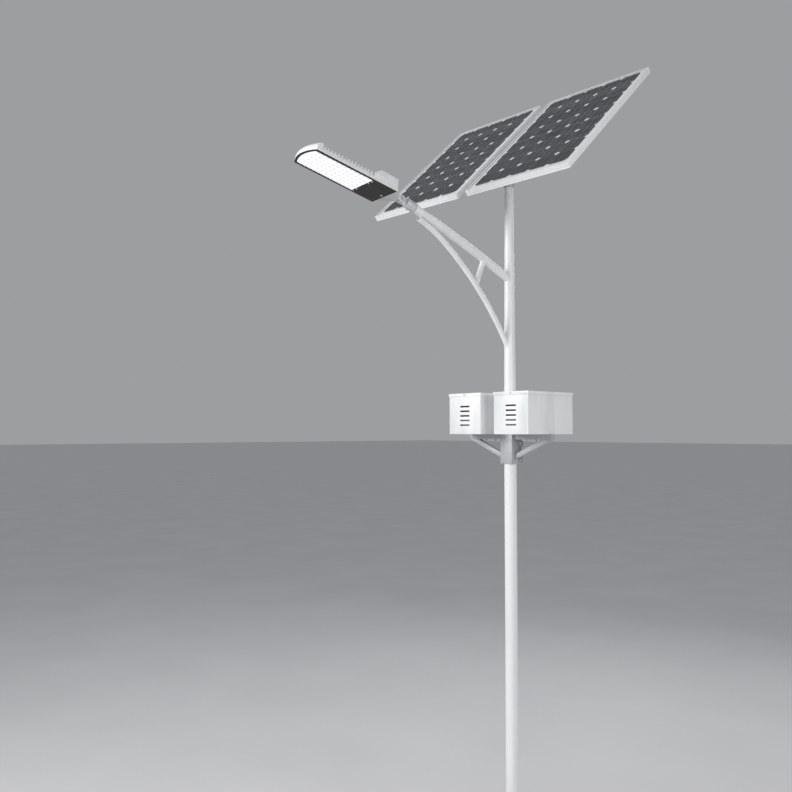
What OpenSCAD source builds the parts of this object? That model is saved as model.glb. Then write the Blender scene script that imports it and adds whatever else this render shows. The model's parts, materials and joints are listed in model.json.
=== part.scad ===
// Solar street lamp: a steel pole that carries two tilted solar panels, a lamp arm with an LED luminaire
// and a pair of battery boxes. Millimetres, +Z up. The origin is the centre of the base plate's underside,
// the louvred box faces and the panels' low edge look towards -Y, and the arm leaves the pole near -Y.

/* [Pole] */
// Height of the battery boxes' floors above the ground
box_z = 4000; // [3300:50:4800]
// Outer diameter of the straight lower pole
pole_d = 92; // [76:1:112]
// Wall of the lower pole
pole_wall = 4; // [3:0.5:5]
// Outer diameter of the tapered pole at its top shoulder
pole_top_d = 64; // [62:1:74]
// Length of the tapered pole
taper_len = 1865; // [1700:5:2250]
// Diameter of the tenon that the panel head turns on
tenon_d = 60; // [48:1:60]
// Length of the tenon
tenon_len = 120; // [100:5:160]

/* [Base] */
// Side of the square base plate
base_w = 360; // [320:10:440]
// Thickness of the base plate
base_t = 20; // [14:1:30]
// Distance between anchor holes
anchor_pitch = 280; // [240:5:280]
// Diameter of the anchor holes
anchor_d = 22; // [18:1:26]
// Height of the base ribs
rib_h = 150; // [100:5:200]
// Diameter of the cable hole in the base plate
cable_hole_d = 70; // [50:1:76]

/* [Service door] */
// Height of the hand hole's middle above the ground
door_z = 750; // [600:10:1100]
// Height of the hand hole
hole_h = 260; // [200:5:320]
// Width of the hand hole
hole_w = 42; // [40:1:46]
// How far the door laps over the hole
door_lap = 20; // [12:1:26]
// Thickness of the door
door_t = 3; // [2:0.5:4]

/* [Battery boxes] */
// Width of a box lid across the lamp
box_w = 318; // [290:2:380]
// Length of a box lid along the arm's side
box_l = 534; // [444:2:642]
// Height of a box with its lid
box_h = 304; // [280:2:360]
// Gap between the two lids, where the pole passes
box_gap = 120; // [118:2:150]
// Sheet thickness of the boxes
sheet_t = 2; // [1.5:0.5:3]
// Depth of the lid's skirt
skirt_h = 22; // [20:1:30]
// Number of louvres
louvre_count = 5; // [3:1:6]
// Distance between louvres
louvre_pitch = 34.5; // [28:0.5:36]
// Length of a louvre
louvre_l = 92; // [60:2:140]

/* [Box bracket] */
// Section of the bracket's arms
bar = 40; // [30:1:50]
// Air between the bracket's channel and the pole, on each side
channel_air = 4; // [2:0.5:12]
// Height of the bracket's channel
channel_h = 220; // [200:5:260]
// Thickness of the channel and clamp plate
channel_t = 5; // [4:0.5:8]
// Width of a brace seen from the front
brace_h = 36; // [26:1:40]

/* [Lamp arm] */
// Turn of the arm about the pole, away from the panels' front
arm_yaw = -8; // [-15:1:15]
// Diameter of the arm tube
arm_d = 60; // [50:1:72]
// Height of the arm's axis above the box floors, at the pole's axis
arm_rise = 1162; // [1000:1:1250]
// Slope of the arm at the pole
arm_slope_0 = 27.5; // [24:0.5:34]
// Slope of the arm at its end
arm_slope_1 = 21.3; // [16:0.5:23]
// Reach of the arm from the pole's axis
arm_reach = 958; // [820:2:1100]
// Diameter of the lower brace tube
stay_d = 38; // [30:1:44]
// Height of the lower brace's foot above the box floors, at the pole's axis
stay_rise = 613; // [520:1:700]
// Slope of the lower brace at the pole
stay_slope = 62; // [58:0.5:66]
// Radius of the lower brace's long bend
stay_r1 = 2424; // [2200:10:2800]
// Radius of the lower brace's short bend
stay_r2 = 900; // [760:2:1050]
// Wall of the arm tubes
tube_t = 3; // [2:0.5:4]

/* [Luminaire] */
// Upward tilt of the luminaire
lum_tilt = 15; // [5:1:20]
// Width of the luminaire
lum_w = 300; // [270:2:340]
// Length of the luminaire from the window's front to its tail
lum_l = 636; // [600:2:720]
// Length of the LED window
window_l = 443; // [400:1:443]
// Bow of the nose
nose_bow = 38; // [24:1:50]
// Height of the driver hump
hump_h = 86; // [76:1:100]
// Height of the fins' crests
fin_h = 48; // [38:1:56]
// Number of fins
fin_count = 15; // [10:1:18]

/* [Solar panels] */
// Tilt of the panels
panel_tilt = 42.5; // [20:0.5:55]
// Side of a solar cell
cell_w = 156; // [130:1:188]
// Gap between cells
cell_gap = 2; // [1:0.5:4]
// Corner cut of a cell
cell_cut = 20; // [10:1:28]
// Cells across a panel
cell_cols = 5; // [4:1:5]
// Cells up a panel
cell_rows = 8; // [6:1:8]
// Margin from the cells to the frame's outside
panel_margin = 42; // [30:1:50]
// Gap between the two panels
panel_gap = 90; // [60:2:120]
// Depth of the panel frame
frame_h = 40; // [32:1:46]
// Diameter of the cross beam
beam_d = 60; // [48:1:70]
// Depth of the rails under the panels
rail_h = 36; // [30:1:50]

/* [Hidden] */
$fn = 48;
run = 0.05;     // radial clearance of a running fit
clear = 0.3;    // gap between curved faces of different bodies
eps = 1;        // how far a cut runs past a face
hairline = 0.05;    // between pieces of one node that are drawn apart

pole_r = pole_d / 2;
bore_r = pole_r - pole_wall;
shoulder_z = box_z + taper_len;
pole_end_z = shoulder_z + tenon_len;
function pole_r_at(z) = z < box_z ? pole_r : pole_r + (pole_top_d / 2 - pole_r) * (z - box_z) / taper_len;

steel = "gainsboro";
white = "whitesmoke";
zinc = "silver";

// ---------------------------------------------------------------- shared shapes

// Hexagon head or nut, standing on its origin along +Z
module hex(across, h) {
    cylinder(d = across * 2 / sqrt(3), h = h, $fn = 6);
}

// Bolt along +Z from its head's seat: head below, shank and nut above
module bolt(d, grip) {
    head = 0.65 * d;
    translate([0, 0, -head]) hex(1.6 * d, head);
    cylinder(d = d, h = grip + 1.3 * d);
    translate([0, 0, grip]) hex(1.6 * d, 0.8 * d);
}

// Round tube along +Z
module tube(d, t, h) {
    difference() {
        cylinder(d = d, h = h);
        translate([0, 0, -eps]) cylinder(d = d - 2 * t, h = h + 2 * eps);
    }
}

// Box open at the top, walls of thickness t
module tray(w, l, h, t) {
    difference() {
        translate([-w / 2, -l / 2, 0]) cube([w, l, h]);
        translate([-w / 2 + t, -l / 2 + t, t]) cube([w - 2 * t, l - 2 * t, h]);
    }
}

// Box centred in X and Y that stands on its origin
module block(w, l, h) {
    translate([-w / 2, -l / 2, 0]) cube([w, l, h]);
}

// ---------------------------------------------------------------- base and pole

rib_reach = base_w / 2 - 25;
rib_t = 10;

module base_plate() {
    color(steel) difference() {
        block(base_w, base_w, base_t);
        translate([0, 0, -eps]) cylinder(d = cable_hole_d, h = base_t + 2 * eps);
        for (x = [-1, 1], y = [-1, 1])
            translate([x * anchor_pitch / 2, y * anchor_pitch / 2, -eps])
                cylinder(d = anchor_d, h = base_t + 2 * eps);
    }
}

module base_ribs() {
    color(steel) for (a = [0 : 90 : 270])
        rotate([90, 0, a]) translate([0, 0, -rib_t / 2]) linear_extrude(rib_t)
            polygon([[pole_r, base_t], [rib_reach, base_t], [rib_reach, base_t + 15],
                [pole_r + 12, base_t + rib_h], [pole_r, base_t + rib_h]]);
}

// The straight pole is drawn in three lengths that meet face to face
foot_z = door_z + hole_h / 2 + door_lap + 80;
middle_z = (foot_z + box_z) / 2;

module pole_foot() {
    color(white) difference() {
        translate([0, 0, base_t]) tube(pole_d, pole_wall, foot_z - base_t);
        translate([-hole_w / 2, 0, door_z - hole_h / 2]) cube([hole_w, pole_d, hole_h]);
        translate([-pole_r, 0, earth_z]) rotate([0, 90, 0])
            translate([0, 0, pole_d - 2 * pole_wall]) cylinder(d = earth_d, h = 3 * pole_wall);
    }
}

module pole_lower() {
    color(white) translate([0, 0, foot_z]) tube(pole_d, pole_wall, middle_z - foot_z);
}

module pole_middle() {
    color(white) translate([0, 0, middle_z]) tube(pole_d, pole_wall, box_z - middle_z);
}

module pole_upper() {
    wall = pole_wall - 0.5;
    color(white) difference() {
        union() {
            translate([0, 0, box_z]) cylinder(r1 = pole_r, r2 = pole_top_d / 2, h = taper_len);
            translate([0, 0, shoulder_z]) cylinder(d = tenon_d, h = tenon_len);
        }
        translate([0, 0, box_z - eps])
            cylinder(r1 = pole_r - wall, r2 = pole_top_d / 2 - wall, h = taper_len - 3 * wall + eps);
        translate([0, 0, box_z]) cylinder(d = tenon_d - 4 * wall, h = taper_len + tenon_len + eps);
    }
}

// ---------------------------------------------------------------- service door

door_h = hole_h + 2 * door_lap;
door_r = pole_r + clear;
door_half = asin(hole_w / 2 / pole_r) + 11;    // half the angle that the door covers
pin_d = 5;
knuckle_r = 6;
knuckle_l = 26;
door_axis_r = pole_r + knuckle_r + 2;
door_axis_a = 90 + door_half + 13;
door_axis = [door_axis_r * cos(door_axis_a), door_axis_r * sin(door_axis_a)];
door_leaf = door_r * sin(door_axis_a - 90 - door_half) + 3;   // from the door's edge to the knuckles
knuckle_zs = [door_z - door_h / 3, door_z + door_h / 3];
earth_z = door_z - door_h / 2 - 60;
earth_d = 10;
lock_drop = 12;                                // the lock below the hand hole's top edge
lock_z = door_z + hole_h / 2 - lock_drop;
cam_l = 18;
cam_w = 9;
cam_t = 3;

// Fixed knuckles above and below each of the door's own, with the two pins
module door_hinge() {
    color(zinc) for (z = knuckle_zs) {
        for (s = [-1, 1]) translate([0, 0, z + s * (knuckle_l + clear) - knuckle_l / 2]) {
            translate([door_axis[0], door_axis[1], 0]) cylinder(r = knuckle_r, h = knuckle_l);
            difference() {
                rotate([0, 0, door_axis_a]) translate([pole_r - 1, -3, 0])
                    cube([knuckle_r + 1, 6, knuckle_l]);
                cylinder(r = pole_r, h = knuckle_l);
            }
        }
        translate([door_axis[0], door_axis[1], z - 1.5 * knuckle_l])
            cylinder(d = pin_d, h = 3 * knuckle_l);
    }
}

module pole_door() {
    color(white) difference() {
        union() {
            rotate([0, 0, 90 - door_half]) translate([0, 0, door_z - door_h / 2])
                rotate_extrude(angle = 2 * door_half)
                    translate([door_r, 0]) square([door_t, door_h]);
            for (z = knuckle_zs) translate([0, 0, z - knuckle_l / 2]) {
                rotate([0, 0, door_axis_a]) {
                    translate([pole_r + 0.5, -door_leaf, 0]) cube([door_t + 1, door_leaf, knuckle_l]);
                    translate([door_axis_r, 0, 0]) cylinder(r = knuckle_r, h = knuckle_l);
                }
            }
        }
        for (z = knuckle_zs) translate([door_axis[0], door_axis[1], z - knuckle_l])
            cylinder(d = pin_d + 2 * run, h = 2 * knuckle_l);
        translate([0, 0, lock_z]) rotate([-90, 0, 0]) cylinder(d = 12 + 2 * run, h = pole_d);
    }
}

// Key lock in the door, its cam pointing sideways: unlocked
module door_lock() {
    cam_x = sqrt(cam_l * cam_l + cam_w * cam_w / 4 - lock_drop * lock_drop);
    cam_y = sqrt(pow(bore_r - 0.5, 2) - cam_x * cam_x);
    color(zinc) translate([0, 0, lock_z]) {
        rotate([-90, 0, 0]) translate([0, 0, cam_y]) cylinder(d = 12, h = door_r + door_t + 3 - cam_y);
        difference() {
            rotate([-90, 0, 0]) translate([0, 0, door_r + door_t + clear]) cylinder(d = 18, h = 4);
            rotate([-90, 0, 0]) translate([0, 0, door_r + door_t + 3]) cylinder(d = 7, h = 4, $fn = 3);
        }
        translate([-cam_w / 2, cam_y - cam_t, -cam_w / 2]) cube([cam_l + cam_w / 2, cam_t, cam_w]);
    }
}

// Fuse block on its rail behind the hand hole, and the earth stud below the door
module pole_electrics() {
    rail_y = -(bore_r - 6);
    color("dimgray") {
        for (z = [-1, 1]) translate([0, rail_y, door_z + z * 70]) rotate([90, 0, 0])
            cylinder(d = 10, h = 5);
        translate([-12, rail_y, door_z - 90]) cube([24, 3, 180]);
        difference() {
            translate([-18, rail_y + 3, door_z - 45]) cube([36, 26, 90]);
            for (z = [-30 : 20 : 30], x = [-9, 9]) translate([x, rail_y + 29 + eps, door_z + z])
                rotate([90, 0, 0]) cylinder(d = 6, h = 10);
        }
    }
    color(zinc) translate([bore_r, 0, earth_z]) rotate([0, 90, 0]) {
        translate([0, 0, -12]) cylinder(d = earth_d, h = 36);
        translate([0, 0, -7]) hex(17, 5.5);
        translate([0, 0, pole_wall + 1]) hex(17, 8);
    }
}

// ---------------------------------------------------------------- box bracket

channel_w = pole_d + 2 * (channel_t + channel_air);
ear_w = 26;
channel_back = pole_r - 8;
clamp_bolt_x = channel_w / 2 + ear_w / 2;
clamp_bolt_zs = [box_z - bar - 30, box_z - channel_h + 30];
arm_end = box_gap / 2 + box_w + 10;
brace_low = box_z - channel_h + 52;
brace_run = arm_end - channel_w / 2;
brace_slope = atan2(box_z - bar - brace_low, brace_run - brace_h);
brace_along = brace_h / sin(brace_slope) / 2;
brace_foot = channel_w / 2 + brace_run - brace_along;

module bracket_channel() {
    color(steel) difference() {
        translate([0, 0, box_z - channel_h]) union() {
            translate([-channel_w / 2, -pole_r - channel_t, 0]) cube([channel_w, channel_t, channel_h]);
            for (s = [-1, 1]) {
                translate([s > 0 ? channel_w / 2 - channel_t : -channel_w / 2, -pole_r, 0])
                    cube([channel_t, pole_r + channel_back, channel_h]);
                translate([s > 0 ? channel_w / 2 : -channel_w / 2 - ear_w, channel_back - channel_t, 0])
                    cube([ear_w, channel_t, channel_h - bar]);
            }
        }
        for (x = [-1, 1], z = clamp_bolt_zs) translate([x * clamp_bolt_x, 0, z])
            rotate([-90, 0, 0]) cylinder(d = 13, h = pole_d);
    }
}

module bracket_clamp() {
    color(steel) difference() {
        union() {
            for (z = clamp_bolt_zs) translate([-clamp_bolt_x - 13, pole_r, z - 20])
                cube([2 * clamp_bolt_x + 26, channel_t, 40]);
            for (x = [-20, 20]) translate([x - 3, pole_r + channel_t, clamp_bolt_zs[1] - 20])
                cube([6, 14, clamp_bolt_zs[0] - clamp_bolt_zs[1] + 40]);
        }
        for (x = [-1, 1], z = clamp_bolt_zs) translate([x * clamp_bolt_x, 0, z])
            rotate([-90, 0, 0]) cylinder(d = 13, h = pole_d);
    }
}

module bracket_bolts() {
    grip = pole_r + channel_t - (channel_back - channel_t);
    color(zinc) for (x = [-1, 1], z = clamp_bolt_zs)
        translate([x * clamp_bolt_x, channel_back - channel_t, z]) rotate([-90, 0, 0]) bolt(12, grip);
}

module bracket_arms() {
    color(steel) for (s = [0, 180]) rotate([0, 0, s]) difference() {
        translate([channel_w / 2, -bar / 2, box_z - bar]) cube([brace_run, bar, bar]);
        translate([channel_w / 2 - eps, -bar / 2 + 3, box_z - bar + 3])
            cube([brace_run - 3, bar - 6, bar - 6]);
        for (x = box_bolt_xs) translate([x, 0, box_z - bar - eps]) cylinder(d = 11, h = bar + 2 * eps);
    }
}

// Flat-sided braces from the channel's foot to the ends of the arms
module bracket_braces() {
    across = brace_h / cos(brace_slope) / 2;
    color(steel) for (s = [0, 180]) rotate([90, 0, s]) translate([0, 0, -brace_h / 2])
        linear_extrude(brace_h) polygon([[channel_w / 2, brace_low - across],
            [brace_foot + brace_along, box_z - bar], [brace_foot - brace_along, box_z - bar],
            [channel_w / 2, brace_low + across]]);
}

// ---------------------------------------------------------------- battery boxes

lid_air = 2;                                   // air between the lid's skirt and the shell
rim = lid_air + sheet_t;                       // how far the shell stands in from the lid
shell_w = box_w - 2 * rim;
shell_l = box_l - 2 * rim;
shell_h = box_h - rim;
flange = 14;                                   // inward rim of the shell
box_x = box_gap / 2 + box_w / 2;
// The outer bolt's nut stands clear of the brace below it
box_bolt_xs = [box_x - 70, min(box_x + 70, brace_foot - brace_along - 20 / tan(brace_slope) - 12)];
lid_axis = [box_l / 2 + 5.5, box_h - skirt_h];
lid_knuckle_l = 40;
lid_knuckle_xs = [-box_w / 2 + 60, box_w / 2 - 60];
lid_barrel_r = 5;
catch_w = 16;
lid_lock_z = box_h - skirt_h / 2;
pad_t = 15;
battery = [170, shell_l - 2 * sheet_t - 37, 225];
battery_x = -(shell_w / 2 - sheet_t - battery[0] / 2 - 20);

// side = +1 for the near box at +X and -1 for the far box at -X
module at_box(side) {
    translate([side * box_x, 0, box_z]) children();
}

module louvre(z) {
    translate([0, -shell_l / 2, z]) rotate([90, 0, 90]) translate([0, 0, -louvre_l / 2])
        linear_extrude(louvre_l)
            polygon([[0, 10], [-4, 6], [-4, 4.5], [-3, 4.5], [-3, 5.5], [0, 8]]);
}

louvre_zs = [for (i = [0 : louvre_count - 1])
    (box_h - skirt_h) / 2 - 4 + (i - (louvre_count - 1) / 2) * louvre_pitch];

module shell(side) {
    color(white) at_box(side) {
        difference() {
            union() {
                tray(shell_w, shell_l, shell_h, sheet_t);
                difference() {
                    translate([0, 0, shell_h - sheet_t]) block(shell_w, shell_l, sheet_t);
                    translate([0, 0, shell_h - 2 * sheet_t])
                        block(shell_w - 2 * flange, shell_l - 2 * flange, 3 * sheet_t);
                }
            }
            translate([-catch_w / 2, -shell_l / 2 - eps, lid_lock_z - catch_w / 2])
                cube([catch_w, flange + 2 * eps, shell_h]);
            for (z = louvre_zs) translate([-louvre_l / 2, -shell_l / 2 - eps, z - 7])
                cube([louvre_l, sheet_t + 2 * eps, 12]);
            for (x = box_bolt_xs) translate([side * (x - box_x), 0, -eps]) cylinder(d = 11, h = 10);
            translate([-side * shell_w / 2, gland_y, gland_z]) rotate([0, 90, 0])
                cylinder(d = gland_d, h = 4 * sheet_t, center = true);
        }
        for (z = louvre_zs) louvre(z);
    }
}

// Fixed leaves and pins of the lid's two hinges
module lid_hinges() {
    color(zinc) for (side = [-1, 1]) at_box(side) for (x = lid_knuckle_xs) translate([x, 0, 0]) {
        for (s = [-1, 1]) translate([s * (lid_knuckle_l / 2 + clear) + (s > 0 ? 0 : -15), 0, 0]) {
            translate([0, lid_axis[0], lid_axis[1]]) rotate([0, 90, 0])
                cylinder(r = lid_barrel_r, h = 15);
            translate([0, shell_l / 2, lid_axis[1] - 24]) cube([15, lid_axis[0] - shell_l / 2, 22]);
        }
        translate([-lid_knuckle_l / 2 - 15, lid_axis[0], lid_axis[1]]) rotate([0, 90, 0])
            cylinder(d = 5, h = lid_knuckle_l + 30);
    }
}

module lid(side) {
    color(white) at_box(side) difference() {
        union() {
            translate([0, 0, box_h]) mirror([0, 0, 1]) tray(box_w, box_l, skirt_h, sheet_t);
            for (x = lid_knuckle_xs) translate([x - lid_knuckle_l / 2, 0, 0]) {
                translate([0, lid_axis[0], lid_axis[1]]) rotate([0, 90, 0])
                    cylinder(r = lid_barrel_r, h = lid_knuckle_l);
                translate([0, box_l / 2, lid_axis[1]]) cube([lid_knuckle_l, 3, skirt_h - 4]);
            }
        }
        for (x = lid_knuckle_xs) translate([x - lid_knuckle_l, lid_axis[0], lid_axis[1]])
            rotate([0, 90, 0]) cylinder(d = 5 + 2 * run, h = 2 * lid_knuckle_l);
        translate([0, -box_l / 2 - eps, lid_lock_z]) rotate([-90, 0, 0])
            cylinder(d = 10 + 2 * run, h = sheet_t + 2 * eps);
    }
}

// Cam lock in the lid's front skirt, its cam pointing down: unlocked
module lid_lock(side) {
    cam_y = -shell_l / 2 + sheet_t + 1;
    color(zinc) at_box(side) translate([0, 0, lid_lock_z]) {
        rotate([-90, 0, 0]) translate([0, 0, -box_l / 2 - 1])
            cylinder(d = 10, h = cam_y + box_l / 2 + 1 + cam_t);
        difference() {
            rotate([-90, 0, 0]) translate([0, 0, -box_l / 2 - 3]) cylinder(d = 15, h = 3 - clear);
            rotate([-90, 0, 0]) translate([0, 0, -box_l / 2 - 4]) cylinder(d = 6, h = 2.5, $fn = 3);
        }
        translate([-cam_w / 2, cam_y, -cam_l]) cube([cam_w, cam_t, cam_l + cam_w / 2]);
    }
}

module battery_block(side) {
    at_box(side) translate([side * battery_x, 0, sheet_t + pad_t]) {
        color("dimgray") {
            block(battery[0], battery[1], battery[2] - 12);
            translate([0, 0, battery[2] - 12]) block(battery[0] - 12, battery[1] - 12, 12);
        }
        color("goldenrod") for (s = [-1, 1])
            translate([s * 40, battery[1] / 2 - 38, battery[2]]) cylinder(d = 16, h = 9);
    }
}

module controller() {
    at_box(1) translate([shell_w / 2 - sheet_t - 40, -60, sheet_t + pad_t]) {
        color("steelblue") block(38, 190, 110);
        color("dimgray") translate([0, 0, 110]) block(30, 150, 12);
    }
}

// Foam pad under each battery with cut-outs for the bolt heads, and end blocks that hold it
module box_liners() {
    in_w = shell_w - 2 * sheet_t - 4;
    in_l = shell_l - 2 * sheet_t - 4;
    color("darkgray") for (side = [-1, 1]) at_box(side) translate([0, 0, sheet_t]) {
        difference() {
            block(in_w, in_l, pad_t);
            for (x = box_bolt_xs) translate([side * (x - box_x), 0, -eps])
                cylinder(d = 30, h = pad_t + 2 * eps);
        }
        for (s = [-1, 1])
            translate([side * battery_x, s * (battery[1] + in_l) / 4, pad_t + hairline])
                block(battery[0], (in_l - battery[1]) / 2, 90);
    }
}

gland_d = 20;
gland_y = 70;
gland_z = 60;
gland_out = min(14, box_gap / 2 + rim - 4);

// Cable gland through each box wall that faces the pole's side of the gap
module box_glands() {
    color("dimgray") for (side = [-1, 1]) at_box(side)
        translate([-side * shell_w / 2, gland_y, gland_z]) rotate([0, -side * 90, 0]) {
            translate([0, 0, -sheet_t - 6]) tube(gland_d, 4, sheet_t + 6 + gland_out);
            translate([0, 0, -sheet_t - 6]) difference() {
                hex(27, 6);
                translate([0, 0, -eps]) cylinder(d = gland_d, h = 6 + 2 * eps);
            }
            difference() {
                hex(27, gland_out - 4);
                translate([0, 0, -eps]) cylinder(d = gland_d, h = gland_out);
            }
        }
}

module box_bolts() {
    color(zinc) for (s = [0, 180], x = box_bolt_xs) rotate([0, 0, s]) translate([x, 0, box_z + sheet_t])
        mirror([0, 0, 1]) bolt(10, bar + sheet_t);
}

// ---------------------------------------------------------------- lamp arm

// Draws in the arm's own upright plane: x runs out along the arm, y is height above the ground
module side_view() {
    rotate([0, 0, arm_yaw - 90]) rotate([90, 0, 0]) children();
}

// The arm's own frame: its arm runs along -Y
module arm_frame() {
    rotate([0, 0, arm_yaw]) children();
}

// Sweeps a section through a bend of radius r about a centre, between two slopes
module bend(centre, r, slope_a, slope_b) {
    translate([centre[0], centre[1], 0]) rotate([0, 0, 90 + slope_b])
        rotate_extrude(angle = slope_a - slope_b, $fn = 1440) translate([r, 0]) children();
}

module ring(d, t) {
    difference() {
        circle(d = d, $fn = 48);
        circle(d = d - 2 * t, $fn = 48);
    }
}

module pole_core() {
    translate([0, 0, box_z]) cylinder(r1 = pole_r, r2 = pole_top_d / 2, h = taper_len);
}

function centre_of(p, r, slope) = [p[0] + r * sin(slope), p[1] - r * cos(slope)];
function on_bend(c, r, slope) = [c[0] - r * sin(slope), c[1] + r * cos(slope)];
function slope_at(c, r, x) = asin((c[0] - x) / r);

arm_r = arm_reach / (sin(arm_slope_0) - sin(arm_slope_1));
arm_c = centre_of([0, box_z + arm_rise], arm_r, arm_slope_0);
arm_tip = on_bend(arm_c, arm_r, arm_slope_1);
arm_dir = [cos(arm_slope_1), sin(arm_slope_1)];

// The lower brace leaves the pole on a long bend, then a shorter bend brings it to the arm's underside
stay_c1 = centre_of([0, box_z + stay_rise], stay_r1, stay_slope);
under_r = arm_r - (arm_d + stay_d) / 2;
span_c = arm_c - stay_c1;
span = norm(span_c);
turn = acos((pow(stay_r1 - stay_r2, 2) + span * span - pow(under_r - stay_r2, 2))
    / (2 * (stay_r1 - stay_r2) * span));
c2_dir = atan2(span_c[1], span_c[0]) - turn + 360;
stay_c2 = stay_c1 + (stay_r1 - stay_r2) * [cos(c2_dir), sin(c2_dir)];
stay_slope_1 = c2_dir - 90;
stay_slope_2 = atan2(stay_c2[1] - arm_c[1], stay_c2[0] - arm_c[0]) - 90;
stay_gap = hairline / stay_r2 * 180 / PI;
strut_x0 = 255;
strut_x1 = 332;
strut_d = 40;

module arm_tube() {
    color(white) difference() {
        side_view() bend(arm_c, arm_r, arm_slope_0, arm_slope_1) ring(arm_d, tube_t);
        pole_core();
    }
}

module arm_stay() {
    color(white) {
        difference() {
            side_view() bend(stay_c1, stay_r1, stay_slope, stay_slope_1) ring(stay_d, tube_t);
            pole_core();
        }
        side_view() bend(stay_c2, stay_r2, stay_slope_1 - stay_gap, stay_slope_2) ring(stay_d, tube_t);
    }
}

// Rod in the side view from a point, at an angle, with some length ahead of the point and behind it
module rod(p, angle, d, ahead, behind) {
    translate([p[0], p[1], 0]) rotate([0, 0, angle]) rotate([0, 90, 0])
        translate([0, 0, -behind]) cylinder(d = d, h = ahead + behind);
}

// Short tie between the arm and its lower brace, its ends hollowed to sit on both tubes
module arm_strut() {
    slope_top = slope_at(arm_c, arm_r, strut_x0);
    slope_low = slope_at(stay_c1, stay_r1, strut_x1);
    top = on_bend(arm_c, arm_r, slope_top);
    low = on_bend(stay_c1, stay_r1, slope_low);
    way = low - top;
    color(white) side_view() difference() {
        rod(top, atan2(way[1], way[0]), strut_d, norm(way), 0);
        rod(top, slope_top, arm_d, 80, 80);
        rod(low, slope_low, stay_d, 60, 60);
    }
}

// ---------------------------------------------------------------- luminaire joint

socket_l = 76;
socket_d = arm_d + 11;
tongue_t = 20;
knuckle = 26;                                  // radius of the tilt joint's discs
pivot_gap = 18 + knuckle;                      // from the socket's closed end to the pivot
socket_end = 6;
pivot = arm_tip + (socket_end + pivot_gap) * arm_dir;
pivot_d = 12;
slack = 0.35;                                  // room for the arm's curve in the straight socket

// x along the tube's axis from its tip, z up, in the arm's frame
module at_tip() {
    arm_frame() translate([0, -arm_tip[0], arm_tip[1]]) rotate([-arm_slope_1, 0, 0]) children();
}

module spigot_socket() {
    color(zinc) at_tip() difference() {
        union() {
            rotate([90, 0, 0]) translate([0, 0, -socket_l]) cylinder(d = socket_d, h = socket_l + socket_end);
            translate([-tongue_t / 2, -socket_end - pivot_gap, -knuckle])
                cube([tongue_t, pivot_gap + socket_end, 2 * knuckle]);
            translate([0, -socket_end - pivot_gap, 0]) rotate([0, 90, 0])
                cylinder(r = knuckle, h = tongue_t, center = true);
        }
        rotate([90, 0, 0]) translate([0, 0, -socket_l - eps])
            cylinder(d = arm_d + 2 * slack, h = socket_l + eps);
        translate([0, -socket_end - pivot_gap, 0]) rotate([0, 90, 0])
            cylinder(d = pivot_d + 2 * run, h = 2 * tongue_t, center = true);
        for (y = [20, 56]) translate([0, y, 0]) mirror([0, 0, 1]) cylinder(d = 10, h = socket_d);
    }
}

ear_t = 12;

// Two set screws under the socket and the tilt joint's cross bolt
module socket_bolts() {
    half = tongue_t / 2 + clear + ear_t + clear;
    color(steel) at_tip() {
        for (y = [20, 56]) translate([0, y, -arm_d / 2 - slack]) mirror([0, 0, 1]) {
            cylinder(d = 10, h = (socket_d - arm_d) / 2 + 3);
            translate([0, 0, (socket_d - arm_d) / 2 + 2]) hex(16, 7);
        }
        translate([-half, -socket_end - pivot_gap, 0]) rotate([0, 90, 0]) bolt(pivot_d, 2 * half);
    }
}

// ---------------------------------------------------------------- luminaire

pivot_s = lum_l + 124;                         // the pivot behind the window's front edge
pivot_h = 39;                                  // and above the window's plane
half_w = lum_w / 2;
front_r = (half_w * half_w + nose_bow * nose_bow) / (2 * nose_bow);
rail_t = 20;                                   // depth of the housing's rail
gear_s = window_l + 6;                         // where the gear compartment starts
bezel_t = 3;
skin = 4;
hump_s0 = window_l - 8;

// The luminaire's own frame: x across, y from the window's front edge to the tail, z up from the window
module lum_frame() {
    arm_frame() translate([0, -pivot[0], pivot[1]]) rotate([-lum_tilt, 0, 0])
        translate([0, -pivot_s, -pivot_h]) children();
}

// Plan outline: parallel sides and a bowed nose, drawn in by some margin
module plan(margin, y_end) {
    intersection() {
        translate([-half_w + margin, -nose_bow - eps]) square([lum_w - 2 * margin, y_end + nose_bow + eps]);
        union() {
            translate([0, front_r - nose_bow]) circle(r = front_r - margin, $fn = 96);
            translate([-half_w, front_r - nose_bow]) square([lum_w, lum_l]);
        }
    }
}

// Extrudes a side profile of [y, z] points across the luminaire
module across(w) {
    rotate([90, 0, 90]) translate([0, 0, -w / 2]) linear_extrude(w) children();
}

module lum_housing() {
    color(white) lum_frame() difference() {
        linear_extrude(rail_t) plan(0, lum_l);
        translate([0, 0, -eps]) linear_extrude(rail_t - skin + eps) plan(12, window_l + 1);
        translate([0, gear_s + (lum_l - gear_s) / 2, -eps])
            block(lum_w - 24, lum_l - gear_s - 20, rail_t + 2 * eps);
        translate([-20, lum_l - 12, 2.5]) cube([40, 8, 4]);
    }
}

fin_s0 = 42;
fin_pitch = (hump_s0 - 8 - fin_s0) / fin_count;

module lum_fins() {
    color(white) lum_frame() {
        translate([0, (hump_s0 + fin_s0 - 4) / 2, rail_t]) block(lum_w - 8, hump_s0 - fin_s0 + 4, 8);
        for (i = [0 : fin_count - 1]) translate([0, fin_s0 + (i + 0.5) * fin_pitch, 0])
            across(lum_w - 8) polygon([[-fin_pitch * 0.42, rail_t + 8], [fin_pitch * 0.3, rail_t + 8],
                [fin_pitch * 0.12, fin_h], [-fin_pitch * 0.05, fin_h]]);
    }
}

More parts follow.
